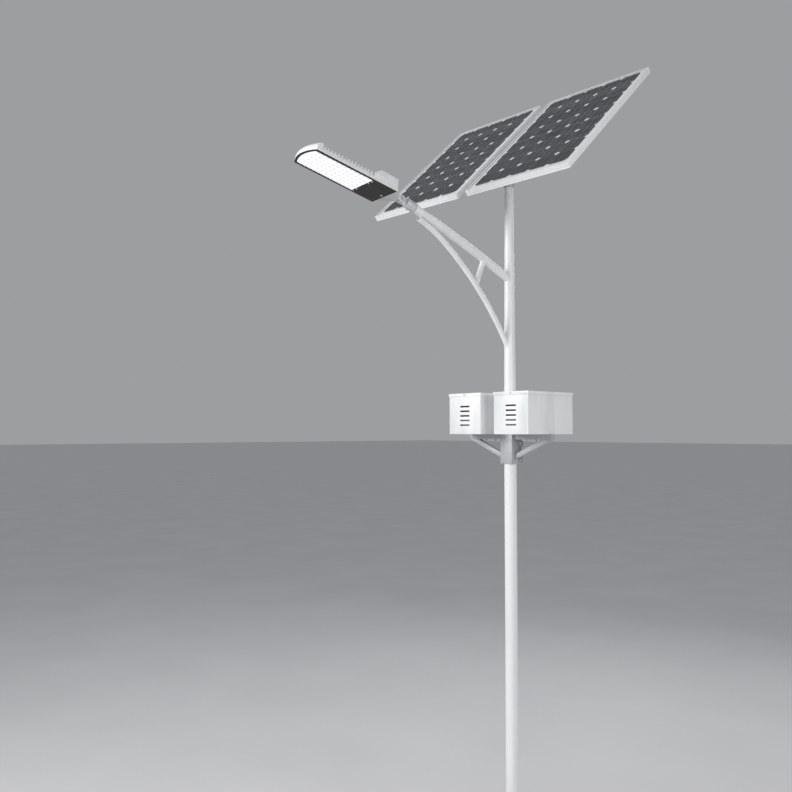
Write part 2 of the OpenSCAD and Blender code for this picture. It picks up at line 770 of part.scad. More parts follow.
// Turns a profile of [distance in from the nose's edge, height] points about the bow's centre
module about_bow() {
    translate([0, front_r - nose_bow, 0]) rotate([0, 0, 180]) rotate_extrude($fn = 360)
        translate([front_r, 0]) mirror([1, 0]) children();
}

// Nose cap: a bowed wedge that rises from the front edge to a ridge ahead of the fins
module lum_nose() {
    top = hump_h - 16;
    color(white) lum_frame() difference() {
        intersection() {
            about_bow() polygon([[0, rail_t], [0, rail_t + 5], [5, rail_t + 16], [14, rail_t + 28],
                [28, rail_t + 40], [46, top], [100, top], [100, rail_t]]);
            across(lum_w) polygon([[-nose_bow - eps, rail_t - eps], [-nose_bow - eps, top + eps],
                [fin_s0 - 14, top + eps], [fin_s0 - 12, top], [fin_s0 - 5, fin_h], [fin_s0 - 4, rail_t],
                [fin_s0 - 4, rail_t - eps]]);
        }
        intersection() {
            about_bow() polygon([[9, rail_t - eps], [13, rail_t + 14], [34, top - 18], [90, top - 18],
                [90, rail_t - eps]]);
            translate([0, -nose_bow + (nose_bow + fin_s0 - 12) / 2, 0])
                block(lum_w - 16, nose_bow + fin_s0 - 12, top);
        }
    }
}

// Cover over the driver compartment, open below
module lum_hump() {
    color(white) lum_frame() difference() {
        across(lum_w) polygon([[hump_s0, rail_t], [hump_s0, fin_h], [hump_s0 + 50, hump_h],
            [lum_l - 14, hump_h - 4], [lum_l - 5, rail_t]]);
        across(lum_w - 8) polygon([[hump_s0 + 8, rail_t - eps], [hump_s0 + 8, fin_h - 4],
            [hump_s0 + 52, hump_h - 4], [lum_l - 20, hump_h - 8], [lum_l - 12, rail_t - eps]]);
    }
}

window_w = 2 * (half_w - 20);

module window_plan(grow) {
    intersection() {
        translate([0, front_r - nose_bow]) circle(r = front_r - 18 + grow, $fn = 96);
        polygon([[-window_w / 2 + 6 - grow, -nose_bow], [window_w / 2 - 6 + grow, -nose_bow],
            [window_w / 2 + grow, window_l + grow], [-window_w / 2 - grow, window_l + grow]]);
    }
}

module lum_bezel() {
    color("black") lum_frame() translate([0, 0, -bezel_t]) difference() {
        linear_extrude(bezel_t) plan(1, window_l + 5);
        translate([0, 0, -eps]) linear_extrude(bezel_t + 2 * eps) window_plan(0);
    }
}

module lum_lens() {
    color("white", 0.6) lum_frame() translate([0, 0, -bezel_t + 1]) linear_extrude(4) window_plan(-0.2);
}

chip_cols = 6;
chip_rows = 12;
board_h = rail_t - skin - 2;

module led_board() {
    color(white) lum_frame() translate([0, (window_l - 20) / 2 + 4, board_h])
        block(lum_w - 40, window_l - 20, 2);
}

module led_chips() {
    color("lightyellow") lum_frame()
        for (i = [0 : chip_cols - 1], j = [0 : chip_rows - 1])
            translate([(i - (chip_cols - 1) / 2) * (lum_w - 70) / (chip_cols - 1),
                32 + j * (window_l - 62) / (chip_rows - 1), board_h - 3]) block(10, 10, 3);
}

module lum_driver() {
    color(zinc) lum_frame() translate([-10, gear_s + (lum_l - gear_s) / 2, hump_h - 8 - 40]) {
        block(190, 80, 38);
        for (s = [-1, 1]) translate([s * 103, 0, 36]) block(16, 60, 2);
    }
}

gear_axis = [gear_s + 3, -bezel_t - 1.5];
gear_end = lum_l - 6;
gear_lock_s = gear_end - 24;
gear_cam_l = 23;

// Door of the gear compartment, hinged at its front edge so that it drops open
module gear_door() {
    color("black") lum_frame() difference() {
        union() {
            translate([0, (gear_axis[0] + gear_end) / 2, -bezel_t])
                block(lum_w - 4, gear_end - gear_axis[0], bezel_t - clear);
            for (x = [-95, 95]) translate([x - 15, gear_axis[0], gear_axis[1]]) rotate([0, 90, 0])
                cylinder(r = 4, h = 30);
        }
        for (x = [-95, 95]) translate([x - 20, gear_axis[0], gear_axis[1]]) rotate([0, 90, 0])
            cylinder(d = 3 + 2 * run, h = 40);
        for (x = [-95, 95], s = [-1, 1]) translate([x + s * 19.5, gear_axis[0], -bezel_t - eps])
            block(10, 9, bezel_t + 2 * eps);
        translate([0, gear_lock_s, -bezel_t - eps]) cylinder(d = 10 + 2 * run, h = bezel_t + 2 * eps);
    }
}

// Hinge pins and their fixed lugs on the bezel's rear edge
module gear_pin() {
    color(zinc) lum_frame() for (x = [-95, 95]) {
        translate([x - 24, gear_axis[0], gear_axis[1]]) rotate([0, 90, 0]) cylinder(d = 3, h = 48);
        for (s = [-1, 1]) translate([x + s * 19.5, gear_axis[0], gear_axis[1]]) {
            rotate([0, 90, 0]) cylinder(r = 4, h = 8, center = true);
            translate([-4, -7, -2]) cube([8, 7, 3.5]);
        }
    }
}

// Quarter-turn fastener at the door's tail, its cam pointing sideways: unlocked
module gear_latch() {
    color(zinc) lum_frame() translate([0, gear_lock_s, 0]) {
        translate([0, 0, -bezel_t - 2]) cylinder(d = 10, h = bezel_t + 8);
        difference() {
            translate([0, 0, -bezel_t - 3]) cylinder(d = 16, h = 3 - clear);
            translate([-6, -1, -bezel_t - 4]) cube([12, 2, 2.5]);
        }
        translate([-4, -4, 3]) cube([gear_cam_l + 4, 8, 3]);
    }
}

flare_w = 210;
flare_h = 44;

// Cast piece that carries the luminaire: a plate on its tail, a flared neck and the tilt joint's two ears
module lum_adaptor() {
    neck = 2 * (tongue_t / 2 + clear + ear_t);
    neck_s = pivot_s - knuckle - 12;
    color(zinc) lum_frame() difference() {
        union() {
            translate([0, 0, pivot_h - flare_h + 12]) linear_extrude(flare_h)
                polygon([[-flare_w / 2, lum_l], [flare_w / 2, lum_l], [flare_w / 2, lum_l + 12],
                    [neck / 2, neck_s - 10], [neck / 2, neck_s], [-neck / 2, neck_s],
                    [-neck / 2, neck_s - 10], [-flare_w / 2, lum_l + 12]]);
            for (s = [-1, 1]) translate([s * (tongue_t / 2 + clear + ear_t / 2), pivot_s, pivot_h]) {
                rotate([0, 90, 0]) cylinder(r = knuckle, h = ear_t, center = true);
                translate([-ear_t / 2, -knuckle - 12, -knuckle + 6])
                    cube([ear_t, knuckle + 12, 2 * knuckle - 20]);
            }
        }
        translate([0, pivot_s, pivot_h]) rotate([0, 90, 0])
            cylinder(d = pivot_d + 2 * run, h = 2 * neck, center = true);
    }
}

// ---------------------------------------------------------------- panel head and rack

saddle_t = 4;
axis_n = frame_h + rail_h + saddle_t + beam_d / 2;    // from the panel's face down to the tilt axis
low_margin = panel_margin + 20;                // room for the ribbons below the cells
high_margin = panel_margin - 6;
panel_l = cell_rows * (cell_w + cell_gap) - cell_gap + low_margin + high_margin;
panel_w = cell_cols * (cell_w + cell_gap) - cell_gap + 2 * panel_margin;
axis_v = panel_l / 2 - 42;                     // the tilt axis up the slope from the low edge
head_wall = 8;
head_z = shoulder_z + 0.5;                     // the head's sleeve sits just above the pole's shoulder
head_l = pole_end_z + 2 - head_z;
cheek_t = 12;
cheek_x = 60;
cheek_r = beam_d / 2 + 14;
beam_rise = 40;                                // from the pole's end to the underside of the cheeks' round
axis_z = pole_end_z + beam_rise + cheek_r;

module head_mount() {
    color(steel) difference() {
        union() {
            translate([0, 0, head_z]) cylinder(d = tenon_d + 2 * head_wall, h = head_l + 8);
            translate([0, 0, head_z + head_l + 8]) block(2 * cheek_x + cheek_t, 80, 10);
            for (s = [-1, 1]) translate([s * cheek_x - cheek_t / 2, 0, 0]) {
                translate([0, -cheek_r, head_z + head_l + 8])
                    cube([cheek_t, 2 * cheek_r, axis_z - head_z - head_l - 8]);
                translate([0, 0, axis_z]) rotate([0, 90, 0]) cylinder(r = cheek_r, h = cheek_t);
            }
        }
        translate([0, 0, head_z - eps]) cylinder(d = tenon_d + 2 * run, h = head_l + eps);
        translate([0, 0, head_z + head_l - 1]) cylinder(d = 30, h = 30);
        translate([0, 0, axis_z]) rotate([0, 90, 0])
            cylinder(d = beam_d + 2 * run, h = 4 * cheek_x, center = true);
        for (a = [30 : 120 : 270]) rotate([0, 0, a]) translate([tenon_d / 2, 0, head_z + 30])
            rotate([0, 90, 0]) cylinder(d = 10, h = 3 * head_wall);
    }
}

// Set screws that lock the head on the tenon and the beam in its cheeks
module head_screws() {
    color(zinc) {
        for (a = [30 : 120 : 270]) rotate([0, 0, a]) translate([tenon_d / 2 + run, 0, head_z + 30])
            rotate([0, 90, 0]) {
                cylinder(d = 10, h = head_wall + 4);
                translate([0, 0, head_wall + 1]) hex(16, 7);
            }
        for (s = [-1, 1]) translate([s * cheek_x, cheek_r, axis_z - beam_d / 2 - 4])
            rotate([-90, 0, 0]) hex(16, 7);
    }
}

// The rack's own frame: x across, y up the slope from the tilt axis, z towards the panels' face
module rack_frame() {
    translate([0, 0, axis_z]) rotate([panel_tilt, 0, 0]) children();
}

rail_w = 41;
rail_ks = [0.18, 0.58];                        // the rails' places across a panel, from the middle gap
rail_xs = [for (s = [-1, 1], k = rail_ks) s * (panel_gap / 2 + k * panel_w)];
beam_l = 2 * (panel_gap / 2 + rail_ks[1] * panel_w + 46);

module rack_beam() {
    color(steel) rack_frame() rotate([0, 90, 0]) {
        translate([0, 0, -beam_l / 2]) tube(beam_d, tube_t, beam_l);
        for (s = [-1, 1]) translate([0, 0, s * beam_l / 2 - (s > 0 ? 0 : 4)]) cylinder(d = beam_d - 2, h = 4);
    }
}

rail_end = 16;                                 // how far the rails stop short of the frames' edges
rail_wall = 2.5;
rail_tip = 11;                                 // depth of the rails' raked ends
rail_rake = 94;                                // and the length over which they deepen
lip_w = 42;                                    // the frames' lower flange
bolt_in = 30;                                  // from the frame's edge to the bolts on the rails

module rack_rails() {
    half = panel_l / 2 - rail_end;
    color(steel) rack_frame() for (x = rail_xs)
        translate([x, panel_l / 2 - axis_v, axis_n - frame_h - rail_h]) difference() {
        block(rail_w, 2 * half, rail_h);
        translate([0, 0, rail_wall]) block(rail_w - 2 * rail_wall, panel_l, rail_h - 2 * rail_wall);
        translate([0, 0, rail_h - 2 * rail_wall]) block(22, panel_l, 3 * rail_wall);
        for (s = [0, 1]) mirror([0, s, 0]) across(rail_w + 2 * eps)
            polygon([[half, rail_h - rail_tip], [half + eps, rail_h - rail_tip], [half + eps, -eps],
                [half - rail_rake, -eps], [half - rail_rake, 0]]);
    }
}

// Straps and saddles that hold the rails on the beam, and the bolts that hold the panels on the rails
module rack_fixings() {
    strap_w = rail_w + 36;
    strap_t = 4;
    bolt_y = beam_d / 2 + 16;
    color(zinc) rack_frame() for (x = rail_xs) translate([x, 0, 0]) {
        difference() {
            union() {
                rotate([0, 90, 0]) cylinder(d = beam_d + 2 * strap_t, h = strap_w, center = true);
                translate([0, 0, -strap_t / 2]) block(strap_w, 2 * bolt_y + 20, strap_t);
            }
            rotate([0, 90, 0]) cylinder(d = beam_d, h = strap_w + 2, center = true);
            translate([0, 0, strap_t / 2]) block(strap_w + 2, 2 * bolt_y + 40, beam_d);
        }
        translate([0, 0, beam_d / 2]) block(strap_w, 2 * bolt_y + 20, saddle_t);
        for (sx = [-1, 1], sy = [-1, 1])
            translate([sx * (rail_w / 2 + 9), sy * bolt_y, -strap_t / 2])
                bolt(8, beam_d / 2 + saddle_t + strap_t / 2);
        for (s = [-1, 1])
            translate([0, panel_l / 2 - axis_v + s * (panel_l / 2 - bolt_in),
                axis_n - frame_h - rail_wall - 6]) {
                block(30, 20, 6);
                cylinder(d = 8, h = 18);
                translate([0, 0, 6 + rail_wall + lip_t]) hex(13, 6.5);
            }
    }
}

// The laminate's layers, down from the panel's face
lip_t = 2;
glass_t = 3.2;
cell_t = 0.4;
sheet_back_t = 1.6;

// side = +1 for the right panel at +X and -1 for the left panel; drawn from the panel's face down
module at_panel(side) {
    rack_frame() translate([side * (panel_gap / 2 + panel_w / 2), panel_l / 2 - axis_v, axis_n]) children();
}

module panel_frame(side) {
    wall = 3;
    groove = 1.6;
    color("whitesmoke") at_panel(side) difference() {
        translate([0, 0, -frame_h]) block(panel_w, panel_l, frame_h);
        translate([0, 0, -lip_t - eps]) block(panel_w - 24, panel_l - 24, lip_t + 2 * eps);
        translate([0, 0, -lip_t - glass_t - cell_t - sheet_back_t])
            block(panel_w - 2 * wall, panel_l - 2 * wall, glass_t + cell_t + sheet_back_t);
        translate([0, 0, -frame_h + lip_t]) block(panel_w - 2 * wall, panel_l - 2 * wall, frame_h - 12);
        translate([0, 0, -frame_h - eps]) block(panel_w - 2 * lip_w, panel_l - 2 * lip_w, frame_h);
        for (k = rail_ks, s = [-1, 1])
            translate([side * (k - 0.5) * panel_w, s * (panel_l / 2 - bolt_in), -frame_h - eps])
                cylinder(d = 9, h = lip_t + 2 * eps);
        for (z = [-14, -29]) translate([0, 0, z]) difference() {
            block(panel_w + 2, panel_l + 2, 4.5);
            translate([0, 0, -eps]) block(panel_w - 2 * groove, panel_l - 2 * groove, 4.5 + 2 * eps);
        }
    }
}

module layer(side, top, t) {
    at_panel(side) translate([0, 0, -top - t]) block(panel_w - 7, panel_l - 7, t);
}

module backsheet(side) {
    color("white") layer(side, lip_t + glass_t + cell_t, sheet_back_t);
}

module glass(side) {
    color("white", 0.2) layer(side, lip_t, glass_t);
}

module cell() {
    h = cell_w / 2;
    k = h - cell_cut;
    polygon([[h, k], [k, h], [-k, h], [-h, k], [-h, -k], [-k, -h], [k, -h], [h, -k]]);
}

module cells(side) {
    pitch = cell_w + cell_gap;
    color("darkslategray") at_panel(side)
        translate([0, (low_margin - high_margin) / 2, -lip_t - glass_t - cell_t])
        for (i = [0 : cell_cols - 1], j = [0 : cell_rows - 1])
            translate([(i - (cell_cols - 1) / 2) * pitch, (j - (cell_rows - 1) / 2) * pitch, 0])
                linear_extrude(cell_t) cell();
}

// Junction box on each panel's back near the high edge, with two cable glands
module junction_boxes() {
    back = lip_t + glass_t + cell_t + sheet_back_t;
    color("black") for (side = [-1, 1]) at_panel(side) translate([0, panel_l / 2 - 170, -back - 24]) {
        block(120, 100, 24);
        for (x = [-30, 30]) translate([x, -50, 12]) rotate([90, 0, 0]) cylinder(d = 14, h = 18);
    }
}

// ---------------------------------------------------------------- nodes

base_plate();
base_ribs();
pole_foot();
pole_lower();
pole_middle();
pole_upper();
door_hinge();
pole_electrics();
bracket_channel();
bracket_clamp();
bracket_bolts();
bracket_arms();
bracket_braces();
arm_tube();
arm_stay();
arm_strut();
spigot_socket();
socket_bolts();
shell(1);  // near_shell
battery_block(1);  // near_battery
shell(-1);  // far_shell
battery_block(-1);  // far_battery
lid_hinges();
controller();
box_liners();
box_glands();
box_bolts();
lid(1);  // near_lid
lid_lock(1);  // near_lock
lid(-1);  // far_lid
lid_lock(-1);  // far_lock
pole_door();
door_lock();
head_mount();
head_screws();
rack_beam();
rack_rails();
rack_fixings();
panel_frame(-1);  // left_frame
backsheet(-1);  // left_backsheet
cells(-1);  // left_cells
glass(-1);  // left_glass
panel_frame(1);  // right_frame
backsheet(1);  // right_backsheet
cells(1);  // right_cells
glass(1);  // right_glass
junction_boxes();
lum_adaptor();
lum_housing();
lum_fins();
lum_nose();
lum_hump();
lum_bezel();
lum_lens();
led_board();
led_chips();
lum_driver();
gear_door();
gear_pin();
gear_latch();
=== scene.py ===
# %% [markdown]
# # A solar street lamp, finished around its engineering model
#
# The lamp is a painted steel pole. It carries two tilted solar panels on its top, a raked arm with a
# finned LED luminaire, and two louvred battery boxes on a bracket. The engineering model gives every
# part its size and place. This lesson adds what the eye expects: rolled and cast edges, weld beads,
# lens domes, cell ribbons, screws and a finish for every surface.
#
# First the frame is loaded. Each part lies where it belongs, in metres, with +Z up.

# %% Load the engineering model
import json
import math

import bpy
from mathutils import Matrix, Vector


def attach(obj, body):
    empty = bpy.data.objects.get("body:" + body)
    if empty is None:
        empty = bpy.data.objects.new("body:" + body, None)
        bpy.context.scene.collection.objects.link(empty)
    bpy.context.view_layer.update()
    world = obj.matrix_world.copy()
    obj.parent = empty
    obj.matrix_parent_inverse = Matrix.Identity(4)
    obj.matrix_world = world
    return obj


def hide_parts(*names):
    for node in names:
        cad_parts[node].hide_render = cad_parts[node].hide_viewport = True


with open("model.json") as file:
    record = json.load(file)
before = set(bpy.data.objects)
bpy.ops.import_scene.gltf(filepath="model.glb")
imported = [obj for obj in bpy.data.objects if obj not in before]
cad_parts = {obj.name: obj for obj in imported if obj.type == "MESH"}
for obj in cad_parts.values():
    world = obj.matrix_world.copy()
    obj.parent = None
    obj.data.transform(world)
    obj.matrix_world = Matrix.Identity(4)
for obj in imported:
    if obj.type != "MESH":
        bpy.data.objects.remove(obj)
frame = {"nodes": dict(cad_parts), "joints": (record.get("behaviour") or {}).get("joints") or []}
nodes = frame["nodes"]
joints = {joint["name"]: joint for joint in frame["joints"]}
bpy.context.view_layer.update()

# %% [markdown]
# The tools of Blender work on whatever is selected, and loading a model leaves it all selected. So one
# small helper picks a single piece, and a second one hands a finished piece over: it bakes the piece's
# place into its mesh and lets it ride on a moving body.

# %% Helpers for picking a piece and handing it over
def alone(piece):
    """Selects one piece and nothing else."""
    bpy.ops.object.select_all(action="DESELECT")
    piece.select_set(True)
    bpy.context.view_layer.objects.active = piece


def hand_over(piece, name, body, slot, *stands_for):
    """Names a piece, bakes its place into its mesh and fixes it to a body of the lamp."""
    alone(piece)
    bpy.ops.object.transform_apply(location=True, rotation=True, scale=True)
    piece.name = name
    piece.data.name = name
    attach(piece, body)
    if stands_for:
        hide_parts(*stands_for)
    return piece


def modify(piece, kind, **settings):
    """Adds a modifier, sets it up and applies it."""
    alone(piece)
    bpy.ops.object.modifier_add(type=kind)
    modifier = piece.modifiers[-1]
    for key, value in settings.items():
        setattr(modifier, key, value)
    bpy.ops.object.modifier_apply(modifier=modifier.name)


def join(pieces):
    """Joins pieces into the first one."""
    bpy.ops.object.select_all(action="DESELECT")
    for piece in pieces:
        piece.select_set(True)
    bpy.context.view_layer.objects.active = pieces[0]
    bpy.ops.object.join()
    return pieces[0]


def copies(first, name, places):
    """Copies of a piece at more places, joined with it. The first place is where it is."""
    row = [first]
    for place in places:
        copy = bpy.data.objects.new(name, first.data.copy())
        copy.location = place
        bpy.context.scene.collection.objects.link(copy)
        row.append(copy)
    return join(row)


bpy.ops.object.select_all(action="DESELECT")

# %% [markdown]
# ## The camera
#
# The lamp is seen from a lift platform, four metres up and a little more than six metres away, with the
# lens tipped up by two degrees. A camera that is level in roll keeps the pole upright.

# %% Place the camera
CAMERA_PLACE = Vector((3.9485, -4.8519, 4.023))
CAMERA_TURN = math.radians(47.0)
CAMERA_PITCH = math.radians(2.425)
LENS_MM, SENSOR_MM = 37.59, 36.0
FARTHEST_SEEN = 600.0

camera_data = bpy.data.cameras.new("camera")
camera_data.lens = LENS_MM
camera_data.sensor_width = SENSOR_MM
camera_data.clip_end = FARTHEST_SEEN
camera = bpy.data.objects.new("camera", camera_data)
camera.location = CAMERA_PLACE
camera.rotation_euler = (math.pi / 2 + CAMERA_PITCH, 0.0, CAMERA_TURN)
bpy.context.scene.collection.objects.link(camera)
bpy.context.scene.camera = camera
print("camera", tuple(round(v, 2) for v in CAMERA_PLACE), "lens", LENS_MM)

# %% [markdown]
# ## Two tilted workbenches
#
# The luminaire and the panels are tilted, so their details are laid out in frames of their own. The
# joints say where these frames are: the latch of the gear door turns about the luminaire's own upright
# axis, and the panels tilt about the cross beam. In the luminaire's frame x runs across, y runs from
# the nose to the tail and z points up, with zero at the window's face.

# %% Frames of the luminaire and of the panels
PANEL_SLOPE = math.radians(42.5)
LATCH_FROM_WINDOW = 0.606

latch = joints["gear_latch_turn"]
lum_up = Vector(latch["axis"]).normalized()
lum_across = -Vector(joints["gear_door_hinge"]["axis"]).normalized()
lum_along = lum_up.cross(lum_across)
lum_origin = Vector(latch["pos_m"]) - LATCH_FROM_WINDOW * lum_along
lum_turn = Matrix((lum_across, lum_along, lum_up)).transposed().to_4x4()
LUM = Matrix.Translation(lum_origin) @ lum_turn

tilt_axis = Vector(joints["panel_tilt"]["pos_m"])
RACK = Matrix.Translation(tilt_axis) @ Matrix.Rotation(PANEL_SLOPE, 4, "X")


def box_in(node, bench):
    """Lowest and highest corner of a part, measured in a tilted frame."""
    back = bench.inverted()
    corners = [back @ v.co for v in nodes[node].data.vertices]
    low = Vector([min(c[i] for c in corners) for i in range(3)])
    high = Vector([max(c[i] for c in corners) for i in range(3)])
    return low, high


window_low, window_high = box_in("lum_lens", LUM)
print("window", [round(v, 3) for v in window_high - window_low])

# %% [markdown]
# ## Rounded edges
#
# Folded sheet, extrusions and castings never end in a perfectly sharp edge, and it is the thin highlight
# along a rounded edge that makes metal look real. Each part is copied, its loose triangles are merged
# into a closed skin, flat areas are joined into single faces, and a bevel rounds what is left of the
# sharp corners. The copy then stands for the engineering part. The louvred shells keep their
# triangles, because a face full of slots doesn't join into one clean polygon. The width is the real
# one: about 1 mm for sheet and thin fins, 2 to 7 mm for castings and heavy sections.

# %% Round the edges of a part
PIERCED = ("near_shell", "far_shell")
MERGE_WITHIN = 4e-6
FLAT_WITHIN = math.radians(0.6)
SMOOTH_BELOW_CORNER = 4


def rounded(node, body, slot, width, segments=2, corner=32):
    """Copy of a part with its corners rounded, which stands for that part."""
    piece = bpy.data.objects.new(node, nodes[node].data.copy())
    bpy.context.scene.collection.objects.link(piece)
    alone(piece)
    bpy.ops.object.mode_set(mode="EDIT")
    bpy.ops.mesh.select_all(action="SELECT")
    bpy.ops.mesh.remove_doubles(threshold=MERGE_WITHIN)
    bpy.ops.mesh.customdata_custom_splitnormals_clear()
    if node not in PIERCED:
        bpy.ops.mesh.dissolve_limited(angle_limit=FLAT_WITHIN)
    bpy.ops.object.mode_set(mode="OBJECT")
    modify(piece, "BEVEL", width=width, segments=segments, limit_method="ANGLE",
           angle_limit=math.radians(corner), use_clamp_overlap=True, miter_outer="MITER_ARC")
    bpy.ops.object.shade_smooth_by_angle(angle=math.radians(corner - SMOOTH_BELOW_CORNER))
    hand_over(piece, node + "_finished", body, slot, node)
    return piece


EDGES = {
    "pole": {
        "white_paint": {
            "near_shell": 0.0012, "far_shell": 0.0012, "base_plate": 0.002, "base_ribs": 0.0015,
        },
        "galvanised_steel": {
            "bracket_channel": 0.0022, "bracket_clamp": 0.0012, "bracket_arms": 0.0035,
            "bracket_braces": 0.0035,
        },
        "cast_aluminium": {"spigot_socket": 0.0025},
        "battery_case": {"near_battery": 0.005, "far_battery": 0.005},
        "controller_case": {"controller": 0.003},
    },
    "near_lid": {"white_paint": {"near_lid": 0.0014}},
    "far_lid": {"white_paint": {"far_lid": 0.0014}},
    "pole_door": {"white_paint": {"pole_door": 0.0008}},
    "head": {"galvanised_steel": {"head_mount": 0.002}},
    "rack": {
        "frame_aluminium": {"left_frame": 0.0008, "right_frame": 0.0008},
        "black_plastic": {"junction_boxes": 0.003},
        "galvanised_steel": {"rack_rails": 0.001},
    },
    "luminaire": {
        "white_aluminium": {
            "lum_housing": 0.003, "lum_fins": 0.0012, "lum_nose": 0.007, "lum_hump": 0.005,
        },
        "cast_aluminium": {"lum_adaptor": 0.004},
        "black_cover": {"lum_bezel": 0.0008},
        "driver_case": {"lum_driver": 0.002},
    },
    "gear_door": {"black_cover": {"gear_door": 0.0006}},
}
finished = {}
for body, slots in EDGES.items():
    for slot, widths in slots.items():
        for node, width in widths.items():
            finished[node] = rounded(node, body, slot, width)
face_count = sum(len(piece.data.polygons) for piece in finished.values())
print("rounded parts:", len(finished), "faces:", face_count)

# %% [markdown]
# ## Weld beads
#
# The arm and its lower brace are welded to the pole and the strut is welded between them. A bead
# follows the curve in which two tubes meet. That curve needs no formula: a circle as wide as the tube
# is laid across it, and a shrinkwrap modifier slides its points along the tube until they lie on the
# other tube. The circle is then turned into a curve with a round section, and back into a mesh. Each
# ring is about half a millimetre wider than its tube, so that the bead lies on the outside.

# %% Lay the weld beads of the arm
WELD_REACH = 0.4
RIPPLE_SIZE, RIPPLE_SHARE = 0.006, 0.5

ARM_TURN = math.atan2(lum_across.y, lum_across.x)
outward = Vector((math.sin(ARM_TURN), -math.cos(ARM_TURN), 0.0))


def in_arm_plane(reach, height):
    """Point in the upright plane of the arm, at a reach from the pole's axis and a height."""
    return outward * reach + Vector((0.0, 0.0, height))


def weld(name, start, direction, radius, target, bead):
    """Bead round a tube that leaves a target along a direction, laid from a start point on the tube."""
    turn = direction.to_track_quat("Z", "Y").to_euler()
    bpy.ops.mesh.primitive_circle_add(vertices=96, radius=radius, location=start, rotation=turn)
    ring = bpy.context.object
    modify(ring, "SHRINKWRAP", target=target, wrap_method="PROJECT", use_project_z=True,
           use_positive_direction=False, use_negative_direction=True, project_limit=WELD_REACH)
    alone(ring)
    bpy.ops.object.convert(target="CURVE")
    ring.data.bevel_depth = bead
    ring.data.bevel_resolution = 3
    bpy.ops.object.convert(target="MESH")
    modify(ring, "DISPLACE", texture=ripple, strength=bead * RIPPLE_SHARE, mid_level=0.5,
           texture_coords="LOCAL")
    bpy.ops.object.shade_smooth()
    return hand_over(ring, name, "pole", "white_paint")


ripple = bpy.data.textures.new("weld_ripple", "CLOUDS")
ripple.noise_scale = RIPPLE_SIZE

ARM_SLOPE, STAY_SLOPE = math.radians(27.2), math.radians(60.5)
ARM_FOOT, STAY_FOOT = 5.162, 4.6135
ARM_START, STAY_START = 0.11, 0.143
STRUT_MIDDLE = (0.2935, 5.1897)
STRUT_LEAN = math.radians(-69.0)
BASE_START = 0.06
ARM_RING, STAY_RING, STRUT_RING, POLE_RING = 0.0305, 0.0195, 0.0204, 0.0465
ARM_BEAD, STAY_BEAD, STRUT_BEAD, POLE_BEAD = 0.0032, 0.0028, 0.0025, 0.004

upright = Vector((0.0, 0.0, 1.0))
arm_way = in_arm_plane(math.cos(ARM_SLOPE), math.sin(ARM_SLOPE))
stay_way = in_arm_plane(math.cos(STAY_SLOPE), math.sin(STAY_SLOPE))
strut_way = in_arm_plane(math.cos(STRUT_LEAN), math.sin(STRUT_LEAN))
arm_start = in_arm_plane(0, ARM_FOOT) + arm_way * ARM_START
stay_start = in_arm_plane(0, STAY_FOOT) + stay_way * STAY_START
strut_start = in_arm_plane(*STRUT_MIDDLE)
welds = [
    weld("arm_weld", arm_start, arm_way, ARM_RING, nodes["pole_upper"], ARM_BEAD),
    weld("stay_weld", stay_start, stay_way, STAY_RING, nodes["pole_upper"], STAY_BEAD),
    weld("strut_weld", strut_start, strut_way, STRUT_RING, nodes["arm_tube"], STRUT_BEAD),
    weld("foot_weld", upright * BASE_START, upright, POLE_RING, nodes["base_plate"], POLE_BEAD),
]
print("weld beads:", [len(w.data.polygons) for w in welds])

# %% [markdown]
# ## The lit window
#
# The window is a clear plate with a small dome over every LED. One dome is modelled, by cutting a
# flattened ball in half and closing it, and it is copied over the grid of the LEDs. Each copy has its
# own mesh until they are joined into one piece.

# %% Model the lens domes
DOME_COLUMNS, DOME_ROWS = 6, 12
DOME_RADIUS, DOME_HEIGHT = 0.0125, 0.0045
DOME_SUNK = 0.0002
CHIP_HALF = 0.005
chips_low, chips_high = box_in("led_chips", LUM)


def lens_dome(x, y):
    """One dome under the window's face, its flat side up."""
    bpy.ops.mesh.primitive_uv_sphere_add(segments=20, ring_count=10, radius=1.0)
    dome = bpy.context.object
    bpy.ops.object.mode_set(mode="EDIT")
    bpy.ops.mesh.select_all(action="SELECT")
    bpy.ops.mesh.bisect(plane_co=(0, 0, 0), plane_no=(0, 0, 1), clear_outer=True, use_fill=True)
    bpy.ops.object.mode_set(mode="OBJECT")
    dome.scale = (DOME_RADIUS, DOME_RADIUS, DOME_HEIGHT)
    dome.location = (x, y, window_low.z + DOME_SUNK)
    bpy.ops.object.transform_apply(location=True, rotation=True, scale=True)
    bpy.ops.object.shade_smooth_by_angle(angle=math.radians(50))
    return dome


x_step = (chips_high.x - chips_low.x - 2 * CHIP_HALF) / (DOME_COLUMNS - 1)
y_step = (chips_high.y - chips_low.y - 2 * CHIP_HALF) / (DOME_ROWS - 1)
first = lens_dome(chips_low.x + CHIP_HALF, chips_low.y + CHIP_HALF)
steps = [(column * x_step, row * y_step, 0.0)
         for column in range(DOME_COLUMNS) for row in range(DOME_ROWS)]
lens_domes = copies(first, "dome", steps[1:])
lens_domes.matrix_world = LUM
hand_over(lens_domes, "lens_domes", "luminaire", "lens")
print("lens domes:", DOME_COLUMNS * DOME_ROWS, "pitch", round(x_step, 4), round(y_step, 4))
